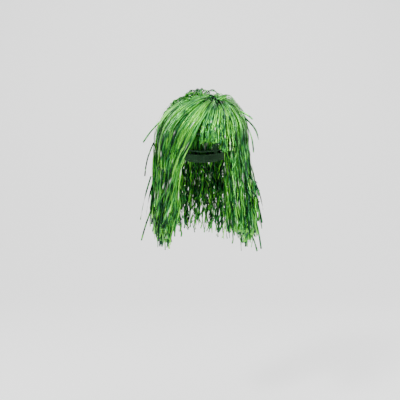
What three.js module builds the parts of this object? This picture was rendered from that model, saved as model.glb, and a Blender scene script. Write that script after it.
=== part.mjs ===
// Costume wig: a stretch cap of elastic ribs inside a folded hem binding, with six sewn wefts whose foil
// fringes lie over each other like shingles, and twelve locks that hang free below the cap.
// Millimetres, +Z up, the wearer faces -Y. The origin is the middle of the head opening.
import * as THREE from 'three';
import { LoftGeometry } from 'three/addons/geometries/LoftGeometry.js';

// Cap: inside of the dome, and the plane of its hem, z = hem.rise - hem.slope * y
const head = { x: 77, y: 96, z: 100 };
const crown = new THREE.Vector3(0.291, -0.333, 0.897).normalize();
const hem = { rise: 3, slope: 0.42 };
const rib = { count: 8, width: 8, start: 12, bottom: 0.2, top: 0.8, aboveHem: 13.5 };
const patch = { radius: 18, bottom: 1.3, top: 2.3 };
const binding = { height: 16, inner: -0.7, outer: 2.3, wall: 0.5, belowHem: 2, fold: 1.2 };
const elastic = { from: 1, to: 8, bottom: 0.3, top: 1.0 };
const seam = { width: 10, from: 1, to: 14, bottom: -2.3, top: -1.5 };

// Foil: weft tapes, fringe layers and the tuft at the crown
const weft = { count: 6, height: 4, bottom: 1.6, top: 2.7, lastAboveHem: 20 };
const crownWeft = { from: 13.5, to: 17.5, bottom: 2.8, top: 3.9 };
const fringe = { start: 3.6, ramp: 0.14, gap: 0.6, loftCrown: 12.5, loftHem: 18.5, loftEdge: 20 };
const tuft = { radius: 12.5, bottom: 2.9, top: 11.5 };
const faceOpening = { left: 231, right: 314 };
const edge = { side: -43, overHem: 4, front: 1 };

// Locks: azimuth where each begins and ends, its lowest points at both ends, and how far it leans out
const lock = { thickness: 16, tip: 13, clearance: 1, sideGap: 0.8, offset: 12 };
const locks = [
  { name: 'lock_side_right_front', from: -46, to: -15, ends: [-206, -214], lean: 7.5 },
  { name: 'lock_side_right_mid', from: -15, to: 16, ends: [-208, -200], lean: 7.5 },
  { name: 'lock_side_right_rear', from: 16, to: 47, ends: [-198, -192], lean: 7 },
  { name: 'lock_back_right', from: 47, to: 75, ends: [-190, -186], lean: 6 },
  { name: 'lock_back_centre', from: 75, to: 105, ends: [-184, -184], lean: 6 },
  { name: 'lock_back_left', from: 105, to: 133, ends: [-186, -190], lean: 6 },
  { name: 'lock_side_left_rear', from: 133, to: 164, ends: [-188, -192], lean: 7 },
  { name: 'lock_side_left_mid', from: 164, to: 197, ends: [-196, -204], lean: 7.5 },
  { name: 'lock_side_left_front', from: 197, to: 231, ends: [-206, -184], lean: 7.5 },
  { name: 'lock_bang_left', from: 233, to: 266, ends: [-46, 8], lean: 9, front: true },
  { name: 'lock_bang_centre', from: 268, to: 296, ends: [4, 2], lean: 9, front: true },
  { name: 'lock_bang_right', from: 298, to: 313, ends: [-12, -18], lean: 9, front: true },
];

const radians = Math.PI / 180;
const finish = {
  foil: { color: 0x5c9a50, roughness: 0.26, metalness: 0.9 },
  fabric: { color: 0x1f3d24, roughness: 0.9, metalness: 0 },
  elastic: { color: 0x24482b, roughness: 0.8, metalness: 0 },
  tape: { color: 0x2b5c33, roughness: 0.75, metalness: 0 },
};
const wig = new THREE.Group();

function add(name, geometry, kind) {
  const mesh = new THREE.Mesh(geometry, new THREE.MeshStandardMaterial(finish[kind]));
  mesh.name = name;
  wig.add(mesh);
  return mesh;
}

// Outward normal and point, h outside the cap's inner face, on the fall line of one azimuth: t runs from
// the crown, 0, over the dome to its widest line, 1, and straight down beyond it.
function fallNormal(azimuth, t) {
  const widest = new THREE.Vector3(Math.cos(azimuth * radians), Math.sin(azimuth * radians), 0);
  const arc = crown.angleTo(widest);
  const s = Math.min(t, 1);
  const unit = crown.clone().multiplyScalar(Math.sin((1 - s) * arc))
    .addScaledVector(widest, Math.sin(s * arc)).divideScalar(Math.sin(arc));
  return { unit, arc, normal: new THREE.Vector3(unit.x / head.x, unit.y / head.y, unit.z / head.z).normalize() };
}

function fall(azimuth, t, h) {
  const { unit, arc, normal } = fallNormal(azimuth, t);
  const drop = Math.max(t - 1, 0) * arc * head.z;
  return new THREE.Vector3(unit.x * head.x, unit.y * head.y, unit.z * head.z - drop).addScaledVector(normal, h);
}

const millimetresPerT = (azimuth, t) => fall(azimuth, t, 0).distanceTo(fall(azimuth, t + 0.01, 0)) / 0.01;

// First t on a fall line whose point is below the given height function.
function fallTo(azimuth, height) {
  let low = 0;
  let high = 2.5;
  for (let step = 0; step < 36; step += 1) {
    const middle = (low + high) / 2;
    const point = fall(azimuth, middle, 0);
    if (point.z > height(point)) low = middle;
    else high = middle;
  }
  return high;
}

const hemHeight = (point) => hem.rise - hem.slope * point.y;
const inFront = (azimuth) => azimuth > faceOpening.left && azimuth < faceOpening.right;

// The t values of one fall line that the sewn rows are set out from.
function column(azimuth) {
  const atHem = fallTo(azimuth, hemHeight);
  const aboveHem = (distance) => atHem - distance / millimetresPerT(azimuth, atHem - 0.01);
  const fromCrown = (distance) => distance / millimetresPerT(azimuth, 0);
  const first = fromCrown(patch.radius + 0.4);
  const last = aboveHem(weft.lastAboveHem);
  const covered = aboveHem(-edge.overHem);
  const bottom = inFront(azimuth) ? aboveHem(-edge.overHem - edge.front) : fallTo(azimuth, () => edge.side);
  // q runs from the first weft, 0, to the last, 1, just past the hem, 2, and on to the lower edge, 3.
  const marks = [first, last, covered, bottom];
  const atRow = (q) => {
    const stage = Math.min(Math.floor(q), 2);
    return THREE.MathUtils.lerp(marks[stage], marks[stage + 1], q - stage);
  };
  return { azimuth, aboveHem, fromCrown, atRow };
}

// Closed ring around the cap: the section is a list of [t, h] points for each fall line.
const azimuths = [];
for (let azimuth = -46; azimuth < 314 - 1; azimuth += 12) azimuths.push(azimuth);
const nearly = (a, b) => Math.abs(a - b) < 3;
const columns = azimuths.filter((a) => !nearly(a, faceOpening.left) && !nearly(a + 360, faceOpening.right))
  .concat([faceOpening.left - 0.4, faceOpening.left + 0.4, faceOpening.right - 0.4, faceOpening.right - 359.6])
  .sort((a, b) => a - b).map(column);

// A mirrored ring splits its faces along their other diagonals, so that two layers which lie on each other
// share the same facets where they face each other.
function ring(section, mirrored = false) {
  const sections = columns.map((c) => section(c).map(([t, h]) => fall(c.azimuth, t, h)));
  if (mirrored) sections.forEach((points) => points.reverse());
  const geometry = new LoftGeometry([...sections, sections[0]]);
  if (mirrored) geometry.setIndex([...geometry.index.array].reverse());
  return geometry;
}

// Closed disc about the crown, built from rings [radius, h] from its underside to its top. The middle of
// the underside is set a little low, so that the dome's curve leaves it the lowest ring.
function disc(rings) {
  const around = Array.from({ length: 20 }, (_, i) => column(i * 18));
  const sections = rings.map(([radius, h]) => around.map((c) => fall(c.azimuth, c.fromCrown(radius), h)));
  return new LoftGeometry(sections, { capStart: true, capEnd: true });
}

// Flat strip along a fall line between two t values.
function strip(azimuth, width, from, to, bottom, top, steps) {
  const sections = [];
  for (let i = 0; i <= steps; i += 1) {
    const t = from + (to - from) * i / steps;
    const { normal } = fallNormal(azimuth, t);
    const along = fall(azimuth, t + 0.005, 0).sub(fall(azimuth, t - 0.005, 0)).normalize();
    const side = along.cross(normal).normalize();
    const corner = (h, s) => fall(azimuth, t, h).addScaledVector(side, s * width / 2);
    sections.push([corner(top, 1), corner(bottom, 1), corner(bottom, -1), corner(top, -1)]);
  }
  return new LoftGeometry(sections, { capStart: true, capEnd: true });
}

// Cap
add('crown_patch', disc([
  [1.5, patch.bottom - 0.4], [7, patch.bottom], [12.5, patch.bottom], [patch.radius, patch.bottom],
  [patch.radius, patch.top], [12.5, patch.top], [7, patch.top], [1.5, patch.top],
]), 'fabric');
for (let i = 0; i < rib.count; i += 1) {
  const c = column((i + 0.5) * 360 / rib.count);
  const steps = 12;
  add(`rib_${i + 1}`, strip(c.azimuth, rib.width, c.fromCrown(rib.start), c.aboveHem(rib.aboveHem),
    rib.bottom, rib.top, steps), 'elastic');
}
add('hem_binding', ring((c) => {
  const { inner, outer, wall, height, belowHem, fold } = binding;
  const [rim, middle, slot, bottom] = [height, height / 2, fold - belowHem, -belowHem].map(c.aboveHem);
  return [[rim, outer], [middle, outer], [bottom, outer], [bottom, inner], [middle, inner], [rim, inner],
    [rim, inner + wall], [middle, inner + wall], [slot, inner + wall],
    [slot, outer - wall], [middle, outer - wall], [rim, outer - wall]];
}), 'fabric');
add('hem_elastic', ring((c) => {
  const [low, high] = [c.aboveHem(elastic.from), c.aboveHem(elastic.to)];
  return [[high, elastic.top], [low, elastic.top], [low, elastic.bottom], [high, elastic.bottom]];
}), 'elastic');
const nape = column(90);
add('binding_seam', strip(90, seam.width, nape.aboveHem(seam.to), nape.aboveHem(seam.from),
  seam.bottom, seam.top, 2), 'fabric');

// Weft tapes and the fringes sewn to them. Each fringe starts on the cap under its own tape and is lifted
// by every fringe that starts below it, so all six lie on each other at the hem.
const rows = Array.from({ length: weft.count }, (_, i) => i / (weft.count - 1));
const clamp = THREE.MathUtils.clamp;
const layersFrom = (index, q) => rows.slice(index)
  .reduce((sum, row) => sum + clamp((q - row) / fringe.ramp + 1, 0, 1), 0);
function loft(q) {
  return q <= 1 ? THREE.MathUtils.lerp(fringe.loftCrown, fringe.loftHem, q)
    : THREE.MathUtils.lerp(fringe.loftHem, fringe.loftEdge, (q - 1) / 2);
}
const layerHeight = (index, q) => fringe.start
  + (loft(q) - fringe.start) * layersFrom(index, q) / layersFrom(0, q);

rows.forEach((row, index) => {
  const kind = index ? weft : crownWeft;
  add(`weft_${index + 1}`, ring((c) => {
    const low = index ? c.atRow(row) : c.fromCrown(crownWeft.to);
    const high = index ? low - weft.height / millimetresPerT(c.azimuth, low) : c.fromCrown(crownWeft.from);
    return [[high, kind.top], [low, kind.top], [low, kind.bottom], [high, kind.bottom]];
  }), 'tape');

  const stops = [row + 0.01];
  rows.slice(index + 1).forEach((next) => stops.push(next - fringe.ramp, next));
  stops.push(1.5, 2, 3);
  add(`fringe_${index + 1}`, ring((c) => [
    ...stops.map((q) => [c.atRow(q), layerHeight(index, q) - fringe.gap]),
    ...stops.slice().reverse().map((q) => [c.atRow(q), layerHeight(index + 1, q)]),
  ], index % 2 === 1), 'foil');
});

add('crown_tuft', disc([
  [1.5, tuft.bottom - 0.4], [7, tuft.bottom], [tuft.radius, tuft.bottom], [tuft.radius, 0.7 * tuft.top],
  [0.8 * tuft.radius, 0.92 * tuft.top], [0.4 * tuft.radius, 0.98 * tuft.top], [1.5, tuft.top],
]), 'foil');

// Hanging locks. Each turns about the horizontal line where it leaves the fringes, tangent to the head.
locks.forEach(({ name, from, to, ends, lean, front }) => {
  const overHem = (azimuth) => fall(azimuth, column(azimuth).aboveHem(-edge.overHem - edge.front), 0).z;
  const top = front ? Math.min(overHem(from), overHem(to)) : edge.side;
  const under = (azimuth, h) => fall(azimuth, fallTo(azimuth, () => top), h);
  const out = fallNormal((from + to) / 2, 1).normal.setZ(0).normalize();
  const along = new THREE.Vector3(-out.y, out.x, 0);
  const centre = under((from + to) / 2, lock.offset).setZ(top - lock.clearance - lock.thickness / 2);
  const tilt = lean * radians;
  const sections = [from, to].map((azimuth, i) => {
    const corner = under(azimuth, lock.offset - lock.thickness / 2);
    const side = corner.sub(centre).dot(along) + (i ? -lock.sideGap : lock.sideGap);
    const length = (centre.z - ends[i]) / Math.cos(tilt);
    const outline = [[lock.tip / 2, -length], [-lock.tip / 2, -length]];
    for (let angle = 180; angle >= 0; angle -= 20) {
      outline.push([Math.cos(angle * radians), Math.sin(angle * radians)].map((v) => v * lock.thickness / 2));
    }
    return outline.map(([r, z]) => centre.clone().addScaledVector(along, side)
      .addScaledVector(out, r * Math.cos(tilt) - z * Math.sin(tilt))
      .add(new THREE.Vector3(0, 0, z * Math.cos(tilt) + r * Math.sin(tilt))));
  });
  const mesh = add(name, new LoftGeometry(sections, { capStart: true, capEnd: true }), 'foil');
  mesh.userData.hinge = { centre: centre.toArray(), axis: along.negate().toArray() };
});

export default wig;
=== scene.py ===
# Costume wig of green foil tinsel: the strands of every weft row, the sewn cap under them, and the studio.
# Metres, the CAD's frame: +Z up, the wearer faces -Y, the origin in the middle of the head opening.
# Left and right are those of someone who looks at the wearer's face, so right is +X.
import math
import bpy
import numpy as np
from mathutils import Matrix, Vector


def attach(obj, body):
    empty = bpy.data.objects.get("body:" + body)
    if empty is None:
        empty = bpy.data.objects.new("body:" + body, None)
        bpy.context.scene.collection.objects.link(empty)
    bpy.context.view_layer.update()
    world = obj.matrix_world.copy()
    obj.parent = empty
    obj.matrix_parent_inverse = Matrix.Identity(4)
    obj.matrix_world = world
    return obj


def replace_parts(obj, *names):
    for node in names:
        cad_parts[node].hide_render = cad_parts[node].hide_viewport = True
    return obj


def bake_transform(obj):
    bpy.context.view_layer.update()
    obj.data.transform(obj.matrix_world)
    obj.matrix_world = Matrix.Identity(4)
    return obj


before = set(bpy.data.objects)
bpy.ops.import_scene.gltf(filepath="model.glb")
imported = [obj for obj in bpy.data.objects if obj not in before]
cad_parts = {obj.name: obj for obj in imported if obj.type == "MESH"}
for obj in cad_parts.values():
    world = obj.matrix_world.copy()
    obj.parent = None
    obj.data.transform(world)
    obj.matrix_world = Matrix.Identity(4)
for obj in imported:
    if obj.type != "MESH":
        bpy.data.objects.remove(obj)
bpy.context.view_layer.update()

SEED = 41
rng = np.random.default_rng(SEED)

MM = 0.001

# Cap, as in the CAD: half width, half depth and height of the head, and the direction of the whorl
HEAD = np.array([0.077, 0.096, 0.100])
CROWN = np.array([0.291, -0.333, 0.897])
CROWN /= np.linalg.norm(CROWN)
HEM_RISE, HEM_SLOPE = 0.003, 0.42
HEM_LENGTH, HEM_RADIUS = 0.585, 0.092
PATCH_RADIUS = 0.0184
FIRST_WEFT_FROM_CROWN = 17.5 * MM
LAST_ROW_ABOVE_HEM = 0.020
ROWS = np.arange(6) / 5
WEFT_WIDTH = 4 * MM

# Hair over the cap: where the fringes begin, their depth at the crown and at the hem, the share of the way
# down over which each row fills out, and the extra depth round the shoulder of the dome
LOFT_START, LOFT_CROWN, LOFT_HEM = 0.0036, 0.0125, 0.0190
RAMP = 0.14
SHOULDER_ALL_ROUND, SHOULDER_RIGHT = 0.0020, 0.0135
OUTLINE_HALF_WIDTH, OUTLINE_HALF_DEPTH = 0.097, 0.116
MEAN_RADIUS = 0.1

# Strands
STRAND_WIDTH, STRAND_THICKNESS = 0.0034, 0.00018
STATIONS = 24

# How far strands leave their course, sideways and outward: slow drift, waves, and the kink at each station
# on the cap and what hanging free adds to it
SIDE_DRIFT, SIDE_WAVE, SIDE_KINK, SIDE_KINK_FREE = 0.0078, 0.0015, 0.0003, 0.0008
OUT_DRIFT, OUT_LIMIT, OUT_KINK, OUT_KINK_FREE = 0.0036, 0.0075, 0.0002, 0.0005
CLUMPS, CLUMP_PULL = 74, 0.26
TURN_UNDER_HEM = 0.3  # share of its turn round the cap that a strand keeps under the hem

# ------------------------------------------------------------------ camera, floor and light
# Lamps, all aimed at the middle of the hair: name, place, size across and power
MIDDLE = (0, 0, -0.03)
LAMPS = [
    ("key", (-1.0, -1.9, 1.5), 0.4, 58),
    ("fill", (1.7, -1.6, 0.5), 0.35, 31),
    ("top", (0.1, -0.7, 1.9), 2.2, 53),
    ("rim", (-1.4, 1.2, 0.9), 0.8, 16),
    ("back", (1.5, 1.3, 0.6), 0.8, 14),
]


def look_at(obj, target):
    obj.rotation_euler = (Vector(target) - obj.location).to_track_quat("-Z", "Y").to_euler()


def add_camera():
    data = bpy.data.cameras.new("camera")
    data.sensor_width = 36
    distance, elevation, field = 2.4, math.radians(5.5), 0.840
    data.lens = data.sensor_width * distance / field
    cam = bpy.data.objects.new("camera", data)
    aim = Vector((-0.0042, 0.0, -0.1117))
    cam.location = aim + distance * Vector((0, -math.cos(elevation), math.sin(elevation)))
    bpy.context.scene.collection.objects.link(cam)
    look_at(cam, aim)
    bpy.context.scene.camera = cam


def add_area(name, place, size, power):
    data = bpy.data.lights.new(name, "AREA")
    data.shape, data.size, data.energy = "DISK", size, power
    lamp = bpy.data.objects.new(name, data)
    lamp.location = place
    bpy.context.scene.collection.objects.link(lamp)
    look_at(lamp, MIDDLE)


def add_stage():
    """Pale paper that lies under the wig, curves up behind it and stands as the background."""
    floor_z, depth, radius, steps = -0.62, 1.6, 0.6, 12
    near, top, half_width = -4.0, 3.0, 5.0
    profile = [(near, floor_z)]
    for i in range(steps + 1):
        a = math.pi / 2 * i / steps
        profile.append((depth + radius * math.sin(a), floor_z + radius * (1 - math.cos(a))))
    profile.append((depth + radius, top))
    verts = [(x, y, z) for y, z in profile for x in (-half_width, half_width)]
    faces = [(2 * i, 2 * i + 1, 2 * i + 3, 2 * i + 2) for i in range(len(profile) - 1)]
    mesh = bpy.data.meshes.new("backdrop")
    mesh.from_pydata(verts, [], faces)
    mesh.shade_smooth()
    backdrop = bpy.data.objects.new("backdrop", mesh)
    bpy.context.scene.collection.objects.link(backdrop)
    paper = bpy.data.materials.new("pale_paper")
    paper.use_nodes = True
    shader = paper.node_tree.nodes["Principled BSDF"]
    shader.inputs["Base Color"].default_value = (0.95, 0.95, 0.94, 1)
    shader.inputs["Roughness"].default_value = 0.9
    mesh.materials.append(paper)


def add_lights():
    world = bpy.data.worlds.new("studio")
    world.use_nodes = True
    sky = world.node_tree.nodes["Background"]
    sky.inputs["Color"].default_value = (0.97, 0.98, 1.0, 1)
    sky.inputs["Strength"].default_value = 0.85
    bpy.context.scene.world = world
    for lamp in LAMPS:
        add_area(*lamp)


add_camera()
add_stage()
add_lights()

# ------------------------------------------------------------------ the surface that the hair follows
def unit(v):
    return v / np.linalg.norm(v, axis=-1, keepdims=True)


def smooth(x):
    """Soft step from 0 to 1."""
    x = np.clip(x, 0, 1)
    return x * x * (3 - 2 * x)


def fall_unit(azimuth, t):
    """Point on the unit sphere at t on the fall line of an azimuth, and the angle of the whole line.
    t is 0 at the crown and 1 at the widest line."""
    widest = np.stack([np.cos(azimuth), np.sin(azimuth), np.zeros_like(azimuth)], -1)
    arc = np.arccos(widest @ CROWN)
    s = np.minimum(t, 1.0)
    a, b = np.sin((1 - s) * arc), np.sin(s * arc)
    return (a[..., None] * CROWN + b[..., None] * widest) / np.sin(arc)[..., None], arc


def fall_height(azimuth, t):
    """Height on the cap; past the widest line the hair drops straight."""
    point, arc = fall_unit(azimuth, t)
    return point[..., 2] * HEAD[2] - np.maximum(t - 1, 0) * arc * HEAD[2]


def shoulder(around, height):
    """Extra loft of the hair round the shoulder of the dome, most of it at the right."""
    up = height / HEAD[2]
    fade = smooth((1.0 - up) / 0.16) * smooth((up - 0.05) / 0.7)
    return fade * (SHOULDER_ALL_ROUND + SHOULDER_RIGHT * (0.5 + 0.5 * np.cos(around + 0.1)) ** 2)


def surface(around, height, h):
    """Point h outside the cap at an angle around it and a height, and the outward normal there."""
    up = np.clip(height / HEAD[2], 0, 0.9999)
    rho = np.sqrt(1 - up * up)
    on = np.stack([rho * np.cos(around), rho * np.sin(around), up], -1)
    normal = unit(on / HEAD)
    p = on * HEAD + normal * h[..., None]
    p[..., 2] += np.minimum(height, 0)
    return p, normal


def solve_t(azimuth, reached):
    """First t on each fall line at which reached(azimuth, t) holds."""
    low, high = np.zeros_like(azimuth), np.full_like(azimuth, 2.5)
    for _ in range(32):
        mid = (low + high) / 2
        hit = reached(azimuth, mid)
        high, low = np.where(hit, mid, high), np.where(hit, low, mid)
    return high


def under_hem(azimuth, t):
    """Whether t is past the hem, which is lower at the nape than at the forehead."""
    point, _ = fall_unit(azimuth, t)
    return fall_height(azimuth, t) < HEM_RISE - HEM_SLOPE * point[..., 1] * HEAD[1]


def speed(azimuth, t):
    """Metres of fall line for each unit of t."""
    step = 0.01
    ends = []
    for place in (t, t + step):
        point, _ = fall_unit(azimuth, place)
        point = point * HEAD
        point[..., 2] = fall_height(azimuth, place)
        ends.append(point)
    return np.linalg.norm(ends[1] - ends[0], axis=-1) / step


def from_crown(azimuth, distance):
    """t at a distance from the whorl."""
    return distance / speed(azimuth, np.zeros_like(azimuth))


def above_hem(azimuth, distance):
    """t at a distance above the hem, measured along the fall line."""
    t_hem = solve_t(azimuth, under_hem)
    return t_hem - distance / speed(azimuth, t_hem - 0.01)


def layer_share(index, q):
    """How many of the fringes from one row on lie on each other at q, with a soft start for each."""
    return sum(np.clip((q - row) / RAMP + 1, 0, 1) for row in ROWS[index:])


# ------------------------------------------------------------------ meshes
def new_piece(name, verts, faces, material):
    """Mesh object from arrays. Faces are quads, or lists of any length."""
    mesh = bpy.data.meshes.new(name)
    verts = np.asarray(verts, np.float32).reshape(-1, 3)
    if isinstance(faces, np.ndarray):
        count = len(faces)
        mesh.vertices.add(len(verts))
        mesh.vertices.foreach_set("co", verts.ravel())
        mesh.loops.add(count * 4)
        mesh.loops.foreach_set("vertex_index", faces.astype(np.int32).ravel())
        mesh.polygons.add(count)
        mesh.polygons.foreach_set("loop_start", np.arange(count, dtype=np.int32) * 4)
        mesh.update(calc_edges=True)
    else:
        mesh.from_pydata(verts.tolist(), [], faces)
    mesh.validate()
    mesh.materials.append(material)
    obj = bpy.data.objects.new(name, mesh)
    bpy.context.scene.collection.objects.link(obj)
    return obj


def box_loft_faces(stations):
    """Quads of one closed strand with a four-sided section, its ends included."""
    sides = 4
    j = np.arange(stations - 1)[:, None] * sides
    k = np.arange(sides)[None, :]
    wall = np.stack([j + k, j + sides + k, j + sides + (k + 1) % sides, j + (k + 1) % sides], -1)
    last = (stations - 1) * sides
    ends = np.array([[0, 1, 2, 3], [last + 3, last + 2, last + 1, last]])
    return np.concatenate([wall.reshape(-1, 4), ends])


def ribbons(points, normals, twist, width, thickness):
    """Vertices of flat closed strands along rows of points, turned about their own length by twist."""
    tangent = unit(np.gradient(points, axis=1))
    side = unit(np.cross(tangent, normals))
    face = np.cross(side, tangent)
    c, s = np.cos(twist)[..., None], np.sin(twist)[..., None]
    side, face = c * side + s * face, c * face - s * side
    w, h = (width / 2)[..., None] * side, (thickness / 2) * face
    return np.stack([points + w + h, points - w + h, points - w - h, points + w - h], 2)


def strand_piece(name, points, normals, twist, width, tint, material):
    """One object holding many strands, each with its own random tint for the material, which also carries
    painted shade and painted glints.
    """
    count, stations = points.shape[:2]
    verts = ribbons(points, normals, twist, width, STRAND_THICKNESS)
    faces = box_loft_faces(stations)
    faces = (faces[None] + (np.arange(count) * stations * 4)[:, None, None]).reshape(-1, 4)
    obj = new_piece(name, verts, faces, material)
    colour = np.zeros((count, stations * 4, 4), np.float32)
    colour[..., :3] = np.repeat(tint, 4, axis=1)
    colour[..., 3] = 1
    layer = obj.data.attributes.new("tint", "FLOAT_COLOR", "POINT")
    layer.data.foreach_set("color", colour.ravel())
    return obj


# ------------------------------------------------------------------ materials
def new_material(name, roughness, metallic=0.0, coat=0.0, coat_roughness=0.1, sheen=0.0):
    made = bpy.data.materials.new(name)
    made.use_nodes = True
    shader = made.node_tree.nodes["Principled BSDF"]
    shader.inputs["Roughness"].default_value = roughness
    shader.inputs["Metallic"].default_value = metallic
    shader.inputs["Coat Weight"].default_value = coat
    shader.inputs["Coat Roughness"].default_value = coat_roughness
    shader.inputs["Sheen Weight"].default_value = sheen
    return made, made.node_tree.nodes, made.node_tree.links, shader


def ramp(nodes, stops):
    node = nodes.new("ShaderNodeValToRGB")
    elements = node.color_ramp.elements
    while len(elements) < len(stops):
        elements.new(0.5)
    for element, (position, colour) in zip(elements, stops):
        element.position, element.color = position, (*colour, 1)
    return node


def noise(nodes, links, scale, detail):
    node = nodes.new("ShaderNodeTexNoise")
    node.inputs["Scale"].default_value = scale
    node.inputs["Detail"].default_value = detail
    where = nodes.new("ShaderNodeTexCoord")
    links.new(where.outputs["Object"], node.inputs["Vector"])
    return node


def bump(nodes, links, shader, height, strength, distance):
    node = nodes.new("ShaderNodeBump")
    node.inputs["Strength"].default_value = strength
    node.inputs["Distance"].default_value = distance
    links.new(height, node.inputs["Height"])
    links.new(node.outputs["Normal"], shader.inputs["Normal"])


def multiply(nodes, links, a, b):
    """Product of two colours."""
    mix = nodes.new("ShaderNodeMix")
    mix.data_type, mix.blend_type = "RGBA", "MULTIPLY"
    mix.inputs["Factor"].default_value = 1.0
    links.new(a, mix.inputs["A"])
    links.new(b, mix.inputs["B"])
    return mix.outputs["Result"]


def foil_material():
    """Green foil. Each strand's tint holds in red its shade, partly painted light, and in green its painted
    glints, near-white painted highlights.
    """
    made, nodes, links, shader = new_material(
        "green_foil", 0.34, metallic=0.90, coat=0.09, coat_roughness=0.08)
    tint = nodes.new("ShaderNodeAttribute")
    tint.attribute_name = "tint"
    split = nodes.new("ShaderNodeSeparateColor")
    links.new(tint.outputs["Color"], split.inputs["Color"])
    hue = ramp(nodes, [
        (0.0, (0.003, 0.030, 0.012)),
        (0.2, (0.013, 0.105, 0.034)),
        (0.5, (0.060, 0.345, 0.055)),
        (0.8, (0.125, 0.570, 0.038)),
        (1.0, (0.250, 0.790, 0.080)),
    ])
    links.new(split.outputs["Red"], hue.inputs["Fac"])
    # painted shade: slow noise darkens the foil colour in patches, as shade on crinkles would fall
    crinkle_painted_shade = noise(nodes, links, 95, 3)
    shade = ramp(nodes, [(0.30, (0.72, 0.78, 0.72)), (0.60, (1.0, 1.0, 1.0))])
    links.new(crinkle_painted_shade.outputs["Fac"], shade.inputs["Fac"])
    body = multiply(nodes, links, hue.outputs["Color"], shade.outputs["Color"])
    # painted highlight: where the tint's green is set, the foil colour is mixed towards near-white as a
    # painted glint
    glint = nodes.new("ShaderNodeMix")
    glint.data_type = "RGBA"
    links.new(split.outputs["Green"], glint.inputs["Factor"])
    links.new(body, glint.inputs["A"])
    glint.inputs["B"].default_value = (0.82, 0.98, 0.74, 1)
    links.new(glint.outputs["Result"], shader.inputs["Base Color"])
    bump(nodes, links, shader, noise(nodes, links, 320, 2).outputs["Fac"], 0.3, 0.0005)
    return made


def fabric_material(name, dark, light, scale, roughness=0.85):
    """Woven or knitted cloth: fine threads from two crossed waves, with slow colour change."""
    made, nodes, links, shader = new_material(name, roughness, sheen=0.25)
    where = nodes.new("ShaderNodeTexCoord")
    waves = []
    for direction in ("X", "Z"):
        wave = nodes.new("ShaderNodeTexWave")
        wave.bands_direction = direction
        wave.inputs["Scale"].default_value = scale
        wave.inputs["Distortion"].default_value = 1.2
        wave.inputs["Detail"].default_value = 1
        links.new(where.outputs["Object"], wave.inputs["Vector"])
        waves.append(wave)
    weave = nodes.new("ShaderNodeMath")
    weave.operation = "MULTIPLY"
    links.new(waves[0].outputs["Fac"], weave.inputs[0])
    links.new(waves[1].outputs["Fac"], weave.inputs[1])
    colour = ramp(nodes, [(0.0, dark), (0.7, light)])
    links.new(weave.outputs["Value"], colour.inputs["Fac"])
    wear = ramp(nodes, [(0.3, (0.75, 0.75, 0.75)), (0.7, (1.1, 1.1, 1.1))])
    links.new(noise(nodes, links, 40, 3).outputs["Fac"], wear.inputs["Fac"])
    cloth = multiply(nodes, links, colour.outputs["Color"], wear.outputs["Color"])
    links.new(cloth, shader.inputs["Base Color"])
    bump(nodes, links, shader, weave.outputs["Value"], 0.5, 0.0003)
    return made


FOIL = foil_material()
LINING = fabric_material("lining_knit", (0.016, 0.062, 0.024), (0.050, 0.170, 0.066), 260)
ELASTIC = fabric_material("elastic_weave", (0.020, 0.072, 0.030), (0.064, 0.190, 0.080), 420)
TAPE = fabric_material("weft_tape", (0.026, 0.096, 0.038), (0.078, 0.240, 0.096), 340)
THREAD = fabric_material("sewing_thread", (0.080, 0.260, 0.100), (0.170, 0.470, 0.190), 700, 0.6)

# ------------------------------------------------------------------ foil strands
# Sectors of the locks, in degrees around the cap, 0 at the right and -90 in front
SECTORS = [("side_right_front", -62, -15), ("side_right_mid", -15, 16), ("side_right_rear", 16, 47),
           ("back_right", 47, 75), ("back_centre", 75, 105), ("back_left", 105, 133),
           ("side_left_rear", 133, 164), ("side_left_mid", 164, 197), ("side_left_front", 197, 298)]
BANGS = [("bang_left", 200, 266), ("bang_centre", 266, 297), ("bang_right", 297, 330)]
PARTING = math.radians(-90.5)
LEFT_HAIR_FROM, SWEPT_OVER = math.radians(-146), math.radians(50)

# Edges of the face opening: angle around the cap at each height on the left, and one angle on the right
EDGE_Z = np.array([-0.220, -0.154, -0.123, -0.081, -0.039, -0.007, 0.024, 0.050, 0.070])
EDGE_A = np.radians([-136, -131, -126, -123, -119, -110, -99.5, -90.5, -90.5])
EDGE_RIGHT = math.radians(-57)
TURN_BACK = 1.33  # what strays over an edge ends a third as far inside it


def perimeter_azimuths(count, start=-180.0, end=180.0):
    """Angles spread evenly along the cap's outline, with a little jitter."""
    table = np.radians(np.linspace(start, end, 721))
    pace = np.hypot(OUTLINE_HALF_WIDTH * np.sin(table), OUTLINE_HALF_DEPTH * np.cos(table))
    length = np.concatenate([[0], np.cumsum((pace[1:] + pace[:-1]) / 2)])
    wanted = (np.arange(count) + rng.uniform(0, 1, count)) / count * length[-1]
    return np.interp(wanted, length, table)


def wander(count, stations, waves, size):
    """Smooth random drift along each strand, nothing at its root. waves says how many lie in its length."""
    x = np.linspace(0, 1, stations)[None, :]
    total = np.zeros((count, stations))
    for n in waves:
        total += rng.normal(0, 1 / math.sqrt(n), (count, 1)) * np.sin(
            2 * math.pi * (n * x + rng.uniform(0, 1, (count, 1))))
    return size * (total - total[:, :1]) * x


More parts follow.
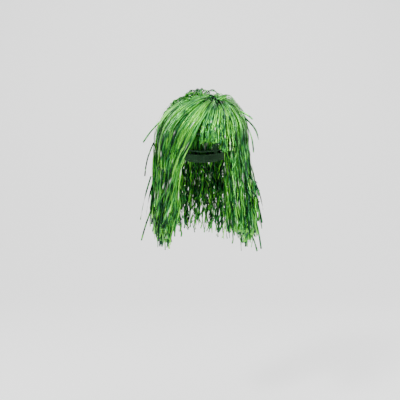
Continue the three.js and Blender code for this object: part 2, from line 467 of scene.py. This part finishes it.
def lay_strands(azimuth, index, tip, layer, flare, start_q):
    """Course of strands that leave weft row `index` and hang to height `tip`: angle, height and loft.
    layer, 0 to 1, is the place of each within its row's thickness, flare how far its hanging part leans
    out besides, and start_q where it begins, or None for its own row."""
    t_hem = solve_t(azimuth, under_hem)
    t_first, t_last = from_crown(azimuth, PATCH_RADIUS), above_hem(azimuth, LAST_ROW_ABOVE_HEM)
    q_start = ROWS[index] if start_q is None else start_q
    t_start = np.maximum(t_first + q_start * (t_last - t_first), 0.004)
    t_tip = solve_t(azimuth, lambda a, t: fall_height(a, t) < tip)
    x = np.linspace(0, 1, STATIONS)[None, :]
    t = t_start[:, None] + (t_tip - t_start)[:, None] * x
    wide = np.repeat(azimuth[:, None], STATIONS, 1)
    on, _ = fall_unit(wide, t)
    height = fall_height(wide, t)
    q = (t - t_first[:, None]) / (t_last - t_first)[:, None]

    # height over the cap: the fringes of all rows share the depth of the hair, which is thin at the whorl
    depth = LOFT_CROWN + (LOFT_HEM - LOFT_CROWN) * np.clip(q, 0, 1)
    depth *= 0.55 + 0.45 * smooth(t * 8)
    below, own, total = layer_share(index + 1, q), layer_share(index, q), layer_share(0, q)
    share = (below + (own - below) * layer[:, None]) / np.maximum(total, 1)
    h = LOFT_START + (depth - LOFT_START) * share
    # the hanging part leans out, the outer strands more, and most of all at the right
    drop = np.clip(-height / 0.18, 0, 1.2)
    right_side = (0.5 + 0.5 * np.cos(azimuth))[:, None]
    lean = 0.001 + 0.005 * right_side + (0.005 + 0.008 * right_side) * share
    h += drop * lean + flare[:, None] * smooth(drop * 1.3)

    # angle around the cap: radial from the crown, then nearly straight down under the hem
    around = np.unwrap(np.arctan2(on[..., 1], on[..., 0]), axis=1)
    around += (azimuth - around[:, -1])[:, None] * (t[:, -1:] >= 1)
    on_hem, _ = fall_unit(azimuth, t_hem)
    at_hem = np.arctan2(on_hem[:, 1], on_hem[:, 0])
    at_hem += 2 * math.pi * np.round((azimuth - at_hem) / (2 * math.pi))
    straight = at_hem[:, None] + TURN_UNDER_HEM * (around - at_hem[:, None])
    around = np.where(t > t_hem[:, None], straight, around)
    h += shoulder(around, height) * share
    return dict(height=height, h=h, around=around, at_hem=at_hem)


def wrap(angle, low=-math.pi):
    """The same angle in the turn that begins at low."""
    return (angle - low) % (2 * math.pi) + low


def sweep_left(strands):
    """Strands left of the parting follow the edge of the face opening down the side of the face."""
    start = wrap(strands["at_hem"], math.radians(-150))
    place = np.clip((PARTING - start) / SWEPT_OVER, 0, 1)
    left = (start < PARTING) & (start > LEFT_HAIR_FROM)
    edge = np.interp(strands["height"], EDGE_Z, EDGE_A) - EDGE_A[-1]
    strands["around"] += np.where(left[:, None], edge * (1 - place)[:, None], 0)
    strands["left"] = start < PARTING


def keep_face_open(around, height, left):
    """Turns back what strays over the face opening, from either side of the parting."""
    here = wrap(around, math.radians(-270))
    over = np.interp(height, EDGE_Z, EDGE_A) - here
    below = smooth((0.060 - height) / 0.02)
    strayed = left[:, None] & (over < 0) & (here < math.radians(-60))
    here = np.where(strayed, here + over * TURN_BACK * below, here)
    under = smooth((0.012 - height) / 0.03) * np.maximum(EDGE_RIGHT - here, 0)
    return np.where(~left[:, None] & (here > math.radians(-94)), here + TURN_BACK * under, here)


def clump(strands):
    """Strands lean towards the middle of their clump as they hang."""
    centres = np.sort(rng.uniform(-math.pi, math.pi, CLUMPS))
    here = wrap(strands["around"][:, -1])
    nearest = centres[np.argmin(np.abs(wrap(here[:, None] - centres[None, :])), axis=1)]
    pull = wrap(nearest - here)
    depth = smooth(0.15 + np.clip(-strands["height"], 0, 0.2) / 0.22)
    strands["around"] += (pull * CLUMP_PULL * rng.uniform(0.3, 1.2, len(pull)))[:, None] * depth


def make_strands(strands, roughness=1.0, twist_size=1.0, open_face=True):
    """Adds drift, kinks and twist, which grow where the strands hang free, and returns
    points, normals, twist and width."""
    shape = strands["height"].shape
    count = shape[0]
    free = smooth((0.045 - strands["height"]) / 0.10)
    drift = wander(count, STATIONS, (0.5, 1.2), SIDE_DRIFT * roughness)
    kink = rng.normal(0, 1, shape) * (SIDE_KINK + SIDE_KINK_FREE * roughness * free)
    kink = kink + wander(count, STATIONS, (2.2, 3.6), SIDE_WAVE * roughness) * (0.6 + free)
    around = strands["around"] + (drift + kink) / MEAN_RADIUS
    if open_face:
        around = keep_face_open(around, strands["height"], strands["left"])
    outward = np.minimum(np.abs(wander(count, STATIONS, (0.7, 1.6), OUT_DRIFT * roughness)), OUT_LIMIT)
    h = strands["h"] + outward + rng.normal(0, 1, shape) * (OUT_KINK + OUT_KINK_FREE * roughness * free)
    points, normals = surface(around, strands["height"], h)
    twist = rng.normal(0, 0.26, (count, 1)) + wander(count, STATIONS, (1.5, 3.5), 0.35)
    twist = twist + rng.normal(0, 1, shape) * (0.07 + 0.12 * free)
    loose = rng.normal(0, 1.0, (count, 1)) + wander(count, STATIONS, (0.8, 1.7), 1.1)
    twist = twist + free * twist_size * loose
    widths = np.repeat(STRAND_WIDTH * rng.uniform(0.75, 1.15, (count, 1)), STATIONS, 1)
    return points, normals, twist, widths


def sector_of(angle, table):
    """Name of the body whose sector holds each angle."""
    degrees = np.degrees(angle)
    names = np.full(len(angle), "", object)
    for name, low, high in table:
        inside = ((degrees - low) % 360) < (high - low)
        names[inside] = name
    return names


# Strand arrays of each body, from every group that adds to it
PILES = {}


def pile(bodies, points, normals, twist, widths, tint):
    """Adds strands to the bodies they hang on."""
    for body in sorted(set(bodies)):
        pick = bodies == body
        PILES.setdefault(body, []).append([a[pick] for a in (points, normals, twist, widths, tint)])


def random_tint(count, base, height=None):
    """Values along each strand of crinkled foil: first its shade, with painted light in it, second how far a
    facet is painted nearly white as a painted glint. Where the height is given, the dome is even and painted
    lighter as if lit from above, and hanging strands are more broken by painted shade and glints."""
    tint = np.repeat(rng.uniform(0, 1, (count, 1, 3)), STATIONS, 1)
    # painted light: each facet is made lighter or darker at random, as its reflection of the lamps would be
    facet_painted_light = rng.normal(0, 1, (count, STATIONS))
    facet_painted_light = facet_painted_light + np.roll(facet_painted_light, 1, axis=1)
    dome = 0.5 if height is None else smooth((height + 0.01) / 0.07)
    own = rng.normal(0, 1, (count, 1)) * (0.27 - 0.15 * dome)
    # painted shade: a few facets are made much darker, as if turned from the light
    painted_dark_facet = rng.uniform(0, 1, (count, STATIONS)) < 0.06 - 0.02 * dome
    # painted highlight: on the dome the shade is raised, the top painted lighter as if lit from above
    shade = base - 0.02 + 0.19 * dome + own + (0.18 - 0.10 * dome) * facet_painted_light - 0.42 * painted_dark_facet
    tint[..., 0] = np.clip(shade, 0, 1)
    # painted highlight: a few facets of the hanging strands are marked for a near-white painted glint
    painted_glint = rng.uniform(0, 1, (count, STATIONS)) < 0.040 * (1 - dome)
    tint[..., 1] = painted_glint * rng.uniform(0.5, 1, (count, STATIONS))
    return tint


# Strands in each row, round the cap and in the fringe over the forehead
LONG_COUNTS = [170, 210, 225, 235, 235, 235]
BANG_COUNTS = [40, 46, 50, 52, 52, 52]
SHORT_END_COUNT = 11

# Ends of the last row around the cap, in degrees and metres, and how much shorter each row hangs
TIP_AROUND = [-180, -130, -60, -40, -15, 16, 47, 90, 133, 180]
TIP_HEIGHT = [-0.198, -0.188, -0.200, -0.212, -0.220, -0.212, -0.198, -0.186, -0.190, -0.198]
ROW_SHORTER = [0.046, 0.030, 0.020, 0.012, 0.006, 0.0]
TIP_SPREAD, TIP_SHORT_BY, LOWEST_TIP = 0.009, 0.12, -0.229
FLARE_SPREAD, LARGEST_FLARE = 0.0035, 0.006

# Cut ends of the fringe over the forehead: height in the middle, height past the step, where the step is,
# and their spread
BANG_TIP_INNER, BANG_TIP_OUTER, BANG_STEP, BANG_TIP_SPREAD = 0.015, -0.003, 0.041, 0.0035


def crown_start(index, count):
    """The first row begins inside the crown patch, the others at their own weft."""
    return rng.uniform(-0.13, -0.10, count) if index == 0 else None


def long_hair():
    """Six rows of fringe, from the crown to just above the hem."""
    for index, count in enumerate(LONG_COUNTS):
        azimuth = perimeter_azimuths(count)
        layer = rng.uniform(0.05, 1, count)
        degrees = np.degrees(azimuth)
        tip = np.interp(degrees, TIP_AROUND, TIP_HEIGHT) + ROW_SHORTER[index]
        tip += rng.normal(0, TIP_SPREAD, count) + rng.uniform(0, 1, count) ** 4.5 * TIP_SHORT_BY
        tip = np.maximum(tip, LOWEST_TIP)
        flare = np.clip(rng.normal(0.0, FLARE_SPREAD, count), -LARGEST_FLARE, LARGEST_FLARE)
        strands = lay_strands(azimuth, index, tip, layer, flare, crown_start(index, count))
        # the forehead belongs to the fringe; its far end steps to and fro from row to row
        at_hem = wrap(strands["at_hem"])
        keep = (at_hem <= PARTING) | (at_hem >= math.radians(-54 - 3 * (index % 2)))
        sweep_left(strands)
        clump(strands)
        made = make_strands(strands)
        tint = random_tint(count, 0.47, strands["height"])
        where = sector_of(strands["around"][:, -1], SECTORS)
        pile(where[keep], *(a[keep] for a in (*made, tint)))


def short_ends(index):
    """Ends of one row, left of the parting, that lie along the edge of the face opening."""
    count = SHORT_END_COUNT
    azimuth = perimeter_azimuths(count, -146, -112)
    tip, layer = rng.uniform(-0.050, 0.006, count), rng.uniform(0.1, 1, count)
    strands = lay_strands(azimuth, index, tip, layer, np.zeros(count), crown_start(index, count))
    sweep_left(strands)
    made = make_strands(strands, roughness=0.5, twist_size=0.5)
    pile(np.full(count, "bang_left", object), *made, random_tint(count, 0.45))


def bangs():
    """Trimmed fringe right of the parting, and the short ends left of it."""
    for index, count in enumerate(BANG_COUNTS):
        azimuth = perimeter_azimuths(count, -112, -40)
        start, still = crown_start(index, count), np.zeros(count)
        layer = rng.uniform(0.1, 1, count)
        at_hem = lay_strands(azimuth, index, np.full(count, -0.02), layer, still, start)["at_hem"]
        inner = HEM_RADIUS * np.cos(at_hem) < BANG_STEP
        tip = np.where(inner, BANG_TIP_INNER, BANG_TIP_OUTER) + rng.normal(0, BANG_TIP_SPREAD, count)
        tip = tip + 0.025 * rng.uniform(0, 1, count) ** 5
        strands = lay_strands(azimuth, index, tip, layer, still, start)
        keep = (at_hem > PARTING) & (at_hem < math.radians(-46))
        # nothing of it crosses the parting below the whorl
        below = smooth((0.056 - strands["height"]) / 0.016)
        strands["around"] += 1.3 * (np.maximum(math.radians(-91) - strands["around"], 0) * below)
        made = make_strands(strands, roughness=0.3, twist_size=0.5, open_face=False)
        pile(sector_of(at_hem, BANGS)[keep], *(a[keep] for a in (*made, random_tint(count, 0.5))))
        short_ends(index)


def over_dome(root, heading, length, rise, base):
    """Points and normals of curls that start `base` over the dome at a root direction, rise and come back."""
    x = np.linspace(0, 1, STATIONS)[None, :, None]
    on = unit(root[:, None] + heading[:, None] * (length / MEAN_RADIUS)[:, None, None] * x)
    normal = unit(on / HEAD)
    lift = base[:, None] + rise[:, None] * np.sin(math.pi * 0.85 * x[..., 0])
    return on * HEAD + normal * lift[..., None], normal


# Cut ends that stand in the middle of the whorl, and curls that spring up over the dome: how many, their
# middle and spread, the least and most of length, rise and start over the cap, and their shade
TUFTS = [
    (60, CROWN, 0.02, (0.010, 0.022), (0.001, 0.006), (0.004, 0.010), -0.08),
    (64, unit(np.array([-0.19, -0.12, 1.0])), 0.30, (0.010, 0.026), (0.003, 0.009), (0.011, 0.0145), 0.33),
]


def tuft():
    """Short foil at the top of the head."""
    parts = []
    for count, middle, spread, length, rise, base, shade in TUFTS:
        root = unit(middle + rng.normal(0, spread, (count, 3)) * np.array([1.1, 0.7, 0.2]))
        turn = rng.normal(0, 1, (count, 3))
        heading = unit(turn - (turn * root).sum(-1, keepdims=True) * root)
        points, normals = over_dome(root, heading, rng.uniform(*length, count), rng.uniform(*rise, count),
                                    rng.uniform(*base, count))
        twist = rng.normal(0, 0.7, (count, 1)) + wander(count, STATIONS, (0.8, 1.6), 1.2)
        widths = np.repeat(rng.uniform(0.0026, 0.0036, (count, 1)), STATIONS, 1)
        parts.append([points, normals, twist, widths, random_tint(count, shade)])
    piece = strand_piece("foil_crown_tuft", *(np.concatenate(a) for a in zip(*parts)), FOIL)
    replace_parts(piece, "crown_tuft")
    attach(piece, "cap")


# Single strands that stand off the outline: body, start and end as (x, y, z), and how far each bows outward
STRAYS = [
    ("side_left_mid", (-0.082, -0.010, 0.058), (-0.122, -0.020, 0.010), 0.003),
    ("side_left_mid", (-0.100, -0.015, 0.010), (-0.119, -0.018, -0.060), 0.004),
    ("side_left_mid", (-0.106, -0.020, -0.060), (-0.128, -0.028, -0.150), 0.002),
    ("side_left_mid", (-0.108, 0.010, -0.135), (-0.128, 0.004, -0.198), 0.001),
    ("side_left_front", (-0.101, -0.045, -0.070), (-0.117, -0.062, -0.165), 0.003),
    ("side_right_mid", (0.083, -0.010, 0.066), (0.117, -0.022, 0.015), 0.008),
    ("side_right_mid", (0.084, 0.008, 0.062), (0.108, 0.004, -0.012), 0.006),
    ("side_right_mid", (0.080, -0.022, 0.074), (0.104, -0.034, 0.058), 0.003),
    ("side_right_mid", (0.106, -0.012, -0.062), (0.127, -0.024, -0.130), 0.003),
    ("side_right_mid", (0.106, 0.004, -0.090), (0.127, 0.002, -0.160), 0.002),
    ("side_right_front", (0.100, -0.036, -0.112), (0.122, -0.052, -0.208), 0.003),
    ("side_right_front", (0.096, -0.042, -0.055), (0.117, -0.060, -0.098), 0.004),
    ("side_right_mid", (0.099, -0.020, -0.066), (0.116, -0.028, -0.074), 0.002),
    ("side_right_mid", (0.100, 0.004, -0.072), (0.119, 0.006, -0.088), -0.002),
    ("side_right_mid", (0.101, -0.010, -0.086), (0.120, -0.016, -0.091), 0.003),
    ("side_right_front", (0.099, -0.036, -0.088), (0.114, -0.046, -0.104), 0.002),
    ("side_right_mid", (0.102, -0.004, -0.098), (0.121, -0.002, -0.116), -0.003),
    ("side_right_front", (0.098, -0.034, -0.172), (0.114, -0.044, -0.214), 0.002),
]


def strays():
    """Single strands that stand off the outline."""
    x = np.linspace(0, 1, STATIONS)[:, None]
    for body, start, end, bow in STRAYS:
        start, end = np.array(start), np.array(end)
        out = unit(np.array([start[0], start[1], 0.0]))
        points = (start + (end - start) * x + out * bow * np.sin(math.pi * x))[None]
        normals = np.broadcast_to(out, points.shape)
        twist = math.pi / 2 + rng.normal(0, 0.3, (1, 1)) + wander(1, STATIONS, (0.6, 1.2), 0.5)
        widths = np.full((1, STATIONS), STRAND_WIDTH)
        pile(np.array([body], object), points, normals, twist, widths, random_tint(1, 0.15))


long_hair()
bangs()
strays()
tuft()

# Each body's strands become one piece in world coordinates, in place of its lock and the fringe rows of the
# CAD
FRINGES = [f"fringe_{i + 1}" for i in range(6)]
for body, stacks in PILES.items():
    arrays = [np.concatenate(parts) for parts in zip(*stacks)]
    piece = strand_piece("foil_" + body, *arrays, FOIL)
    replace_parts(piece, "lock_" + body, *FRINGES)
    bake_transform(piece)

# ------------------------------------------------------------------ the cap
THREAD_SIDES = 5
STITCH_LENGTH, STITCH_PITCH, STITCH_RADIUS = 3.0 * MM, 4.2 * MM, 0.22 * MM
ZIGZAG_RADIUS = 0.20 * MM
RIB_COUNT, RIB_WIDTH = 8, 8 * MM
SEAM_TAB_WIDTH = 10 * MM
STRAP_POINTS, BAND_POINTS = 13, 8


def on_cap(azimuth, t, h):
    """Point h outside the cap at t on the fall line of an azimuth, and the outward normal there."""
    on, _ = fall_unit(azimuth, t)
    normal = unit(on / HEAD)
    point = on * HEAD
    point[..., 2] = fall_height(azimuth, t)
    return point + normal * h[..., None], normal


def weft_t(azimuth, index):
    """t of the lower edge of a weft tape."""
    first, last = from_crown(azimuth, PATCH_RADIUS), above_hem(azimuth, LAST_ROW_ABOVE_HEM)
    if index == 0:
        return from_crown(azimuth, FIRST_WEFT_FROM_CROWN)
    return first + ROWS[index] * (last - first)


def weft_top_t(azimuth, index):
    """t of the upper edge of a weft tape."""
    low = weft_t(azimuth, index)
    return low - WEFT_WIDTH / speed(azimuth, np.maximum(low, 0.01))


def closed_loft(name, sections, material, ring):
    """Closed body of the cap through closed sections (count, points, 3), joined into a ring or capped at
    both ends."""
    count, around = sections.shape[:2]
    i = np.arange(count if ring else count - 1)[:, None]
    k = np.arange(around)[None, :]
    j, m = (i + 1) % count, (k + 1) % around
    faces = np.stack([i * around + k, j * around + k, j * around + m, i * around + m], -1).reshape(-1, 4)
    if not ring:
        last = (count - 1) * around
        faces = [f[::-1] for f in faces.tolist()]
        faces += [list(range(around - 1, -1, -1)), list(range(last, last + around))]
    obj = new_piece(name, sections, faces, material)
    obj.data.shade_smooth()
    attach(obj, "cap")
    return obj


def thread(points, normals, radius):
    """Vertices of round threads (count, stations, sides, 3) along rows of points."""
    tangent = unit(np.gradient(points, axis=1))
    side = unit(np.cross(tangent, normals))
    face = np.cross(side, tangent)
    turn = np.arange(THREAD_SIDES) * math.pi * 2 / THREAD_SIDES
    return points[:, :, None] + radius * (np.cos(turn)[:, None] * side[:, :, None]
                                          + np.sin(turn)[:, None] * face[:, :, None])


def thread_piece(name, groups):
    """One object of many threads. Each group is an array from thread()."""
    verts, faces, start = [], [], 0
    for group in groups:
        count, stations, around = group.shape[:3]
        one = [[k, k + around, (k + 1) % around + around, (k + 1) % around] for k in range(around)]
        wall = np.array([[v + around * row for v in f] for row in range(stations - 1) for f in one])
        last = (stations - 1) * around
        for i in range(count):
            offset = start + i * stations * around
            faces += (wall + offset).tolist()
            faces += [[offset + k for k in range(around)],
                      [offset + last + k for k in range(around - 1, -1, -1)]]
        verts.append(group.reshape(-1, 3))
        start += count * stations * around
    obj = new_piece(name, np.concatenate(verts), faces, THREAD)
    obj.data.shade_smooth()
    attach(obj, "cap")
    return obj


def running_stitches(distance, h, outside):
    """A row of single stitches along the hem binding, each dipping into the cloth at both ends."""
    middle = perimeter_azimuths(int(HEM_LENGTH / STITCH_PITCH))
    half = STITCH_LENGTH / 2 / HEM_RADIUS
    x = np.linspace(-1, 1, 5)[None, :]
    azimuth = middle[:, None] + half * x
    lift = (0.30 * MM * (1 - x ** 2) - 0.14 * MM) * (1 if outside else -1)
    points, normals = on_cap(azimuth, above_hem(azimuth, np.full_like(azimuth, distance)), h + lift)
    return thread(points, normals, STITCH_RADIUS)


def hem_binding():
    """Strip of knit folded round the hem elastic, drawn into small puckers, with two rows of stitches."""
    azimuth = np.linspace(0, 2 * math.pi, 420, endpoint=False)
    # the middle of the cloth in millimetres, from the outer rim down, round the fold and up to the inner rim
    outer, inner, wall = 2.05, -0.45, 0.25
    turn = np.linspace(0, math.pi, 7)
    down = np.array([16, 13, 10, 7, 4, 1.5])
    path_d = np.concatenate([down, -0.55 - 1.2 * np.sin(turn), down[::-1]])
    fold = (outer + inner) / 2 + (outer - inner) / 2 * np.cos(turn)
    path_h = np.concatenate([np.full(len(down), outer), fold, np.full(len(down), inner)])
    along = unit(np.stack([np.gradient(path_d), np.gradient(path_h)], -1))
    left = np.stack([-along[:, 1], along[:, 0]], -1) * wall
    d = np.concatenate([path_d + left[:, 0], (path_d - left[:, 0])[::-1]]) * MM
    h = np.concatenate([path_h + left[:, 1], (path_h - left[:, 1])[::-1]]) * MM
    wide = np.repeat(azimuth[:, None], len(d), 1)
    # puckers push each side away from the elastic, and leave the fold as it is
    phase = np.interp(azimuth, np.linspace(0, 2 * math.pi, 41), np.append(rng.uniform(-1.2, 1.2, 40), 0.0))
    pucker = np.sin(96 * azimuth + phase)[:, None] * np.clip(np.sin(math.pi * (d / MM + 2) / 18), 0, 1)
    centre = 0.0008
    away = np.where(h > centre, 1, -1)
    h = h + 0.22 * MM * (pucker + 1) / 2 * away * np.where(np.abs(h - centre) > centre, 1, 0)
    d = d + 0.18 * MM * np.sin(48 * azimuth + 2 * phase)[:, None]
    points, _ = on_cap(wide, above_hem(wide, d), h)
    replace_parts(closed_loft("hem_binding_cloth", points, LINING, True), "hem_binding")
    groups = [running_stitches(distance * MM, (2.42 if outside else -0.82) * MM, outside)
              for distance in (2.6, 13.4) for outside in (True, False)]
    thread_piece("hem_binding_stitches", groups)


def strap(name, azimuth, width, t_from, t_to, bottom, top, node, material, rows):
    """Woven strap along a fall line, its threads raised in turn like a checkerboard."""
    # round the section: the outer side across, then the inner side back
    half = np.linspace(-0.5, 0.5, STRAP_POINTS) * width
    across = np.concatenate([half, half[::-1]])
    outer = np.repeat([True, False], STRAP_POINTS)
    t = np.linspace(t_from, t_to, rows)
    line, normal = on_cap(np.full(rows, azimuth), t, np.zeros(rows))
    side = unit(np.cross(unit(np.gradient(line, axis=0)), normal))
    check = (np.arange(rows)[:, None] + np.arange(len(across))[None, :]) % 2
    h = np.where(outer, top, bottom)[None, :] + 0.10 * MM * (check - 0.5) * np.where(outer, 1, -1)
    wobble = 0.10 * MM * np.sin(np.arange(rows) * 1.7)[:, None] * (np.abs(across) > 0.45 * width)
    points = line[:, None] + side[:, None] * (across + wobble)[..., None] + normal[:, None] * h[..., None]
    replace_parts(closed_loft(name, points, material, False), node)


def ribs():
    """Elastic tapes from under the crown patch into the hem binding."""
    for i in range(RIB_COUNT):
        azimuth = np.array([(i + 0.5) * 2 * math.pi / RIB_COUNT])
        t_from, t_to = from_crown(azimuth, 12 * MM)[0], above_hem(azimuth, 13.5 * MM)[0]
        strap(f"rib_{i + 1}_webbing", azimuth[0], RIB_WIDTH, t_from, t_to, 0.25 * MM, 0.75 * MM,
              f"rib_{i + 1}", ELASTIC, 80)


def band(name, node, low, high, bottom, top, material, count, ripple):
    """Flat tape all round the cap between two t values, edges rolled in, rippled by its stitches."""
    azimuth = np.linspace(0, 2 * math.pi, count, endpoint=False)
    across = np.linspace(0, 1, BAND_POINTS)
    x = np.concatenate([across, across[::-1]])
    outer = np.repeat([True, False], BAND_POINTS)
    wide = np.repeat(azimuth[:, None], len(x), 1)
    t = low(azimuth)[:, None] + (high(azimuth) - low(azimuth))[:, None] * x
    rolled = np.sin(math.pi * np.clip(x, 0.02, 0.98)) ** 0.35
    middle = (top + bottom) / 2
    h = middle + np.where(outer, top - middle, bottom - middle) * (0.45 + 0.55 * rolled)
    h = h[None, :] + ripple / 2 * np.sin(150 * azimuth)[:, None] * rolled[None, :]
    points, _ = on_cap(wide, t, h)
    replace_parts(closed_loft(name, points, material, True), node)


def zigzag(index, h):
    """Zigzag thread round one weft tape, in one piece."""
    count = 130 + 66 * index
    azimuth = np.linspace(0, 2 * math.pi, count)
    low, high = weft_t(azimuth, index), weft_top_t(azimuth, index)
    t = low + (high - low) * np.where(np.arange(count) % 2, 0.26, 0.74)
    points, normals = on_cap(azimuth, t, np.full(count, h))
    return thread(points[None], normals[None], ZIGZAG_RADIUS)


def wefts():
    """Tape of each row of fringe with a zigzag on both faces. The first row lies over the crown patch."""
    groups = []
    for index in range(len(ROWS)):
        bottom, top = (2.8, 3.9) if index == 0 else (1.6, 2.7)
        band(f"weft_{index + 1}_tape", f"weft_{index + 1}",
             lambda azimuth: weft_t(azimuth, index), lambda azimuth: weft_top_t(azimuth, index),
             (bottom + 0.1) * MM, (top - 0.1) * MM, TAPE, 300, 0.12 * MM)
        groups += [zigzag(index, (bottom - 0.02) * MM), zigzag(index, (top + 0.02) * MM)]
    thread_piece("weft_zigzag", groups)


def hem_elastic():
    """Flat elastic inside the fold of the hem binding, 1 to 8 mm over the hem."""
    band("hem_elastic_band", "hem_elastic",
         lambda azimuth: above_hem(azimuth, np.full_like(azimuth, 1 * MM)),
         lambda azimuth: above_hem(azimuth, np.full_like(azimuth, 8 * MM)),
         0.35 * MM, 0.95 * MM, ELASTIC, 360, 0.06 * MM)


def crown_patch():
    """Round patch of knit under the crown, gathered towards its middle."""
    azimuth = np.linspace(0, 2 * math.pi, 96, endpoint=False)
    radius = np.array([1.5, 4, 7, 10, 13, 15.5, 17.2, 18.0])
    gather = 0.16 * np.sin(24 * azimuth)[:, None] * np.sin(math.pi * radius / 18)[None, :]
    rim = np.array([0, 0, 0, 0, 0, 0.02, 0.12, 0.32])
    upper, under = 2.2 + gather - rim, 1.45 + 0.6 * gather + rim
    rings = np.concatenate([under, upper[:, ::-1]], 1).T * MM
    radii = np.concatenate([radius, radius[::-1]])
    sections = []
    for distance, lift in zip(radii, rings):
        points, _ = on_cap(azimuth, from_crown(azimuth, np.full_like(azimuth, distance * MM)), lift)
        sections.append(points)
    patch = closed_loft("crown_patch_knit", np.array(sections), LINING, False)
    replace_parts(patch, "crown_patch")


def binding_seam():
    """Tab of the same knit that covers the joint of the binding at the nape, oversewn at both sides."""
    nape = np.array([math.pi / 2])
    steps = np.arange(24)
    top, bottom = above_hem(nape, 14 * MM)[0], above_hem(nape, 1 * MM)[0]
    strap("binding_seam_tab", nape[0], SEAM_TAB_WIDTH, top, bottom, -2.2 * MM, -1.6 * MM,
          "binding_seam", LINING, 30)
    groups = []
    for side in (-1, 1):
        distance = np.linspace(1.6, 13.4, len(steps)) * MM
        azimuth = nape[0] + side * (4.1 + 0.7 * (steps % 2)) * MM / HEAD[0]
        points, normals = on_cap(azimuth, above_hem(azimuth, distance), np.full(len(steps), -2.42 * MM))
        groups.append(thread(points[None], normals[None], STITCH_RADIUS))
    thread_piece("binding_seam_stitches", groups)


hem_binding()
ribs()
wefts()
hem_elastic()
crown_patch()
binding_seam()
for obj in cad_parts.values():
    obj.data.materials.clear()
    obj.data.materials.append(FOIL)
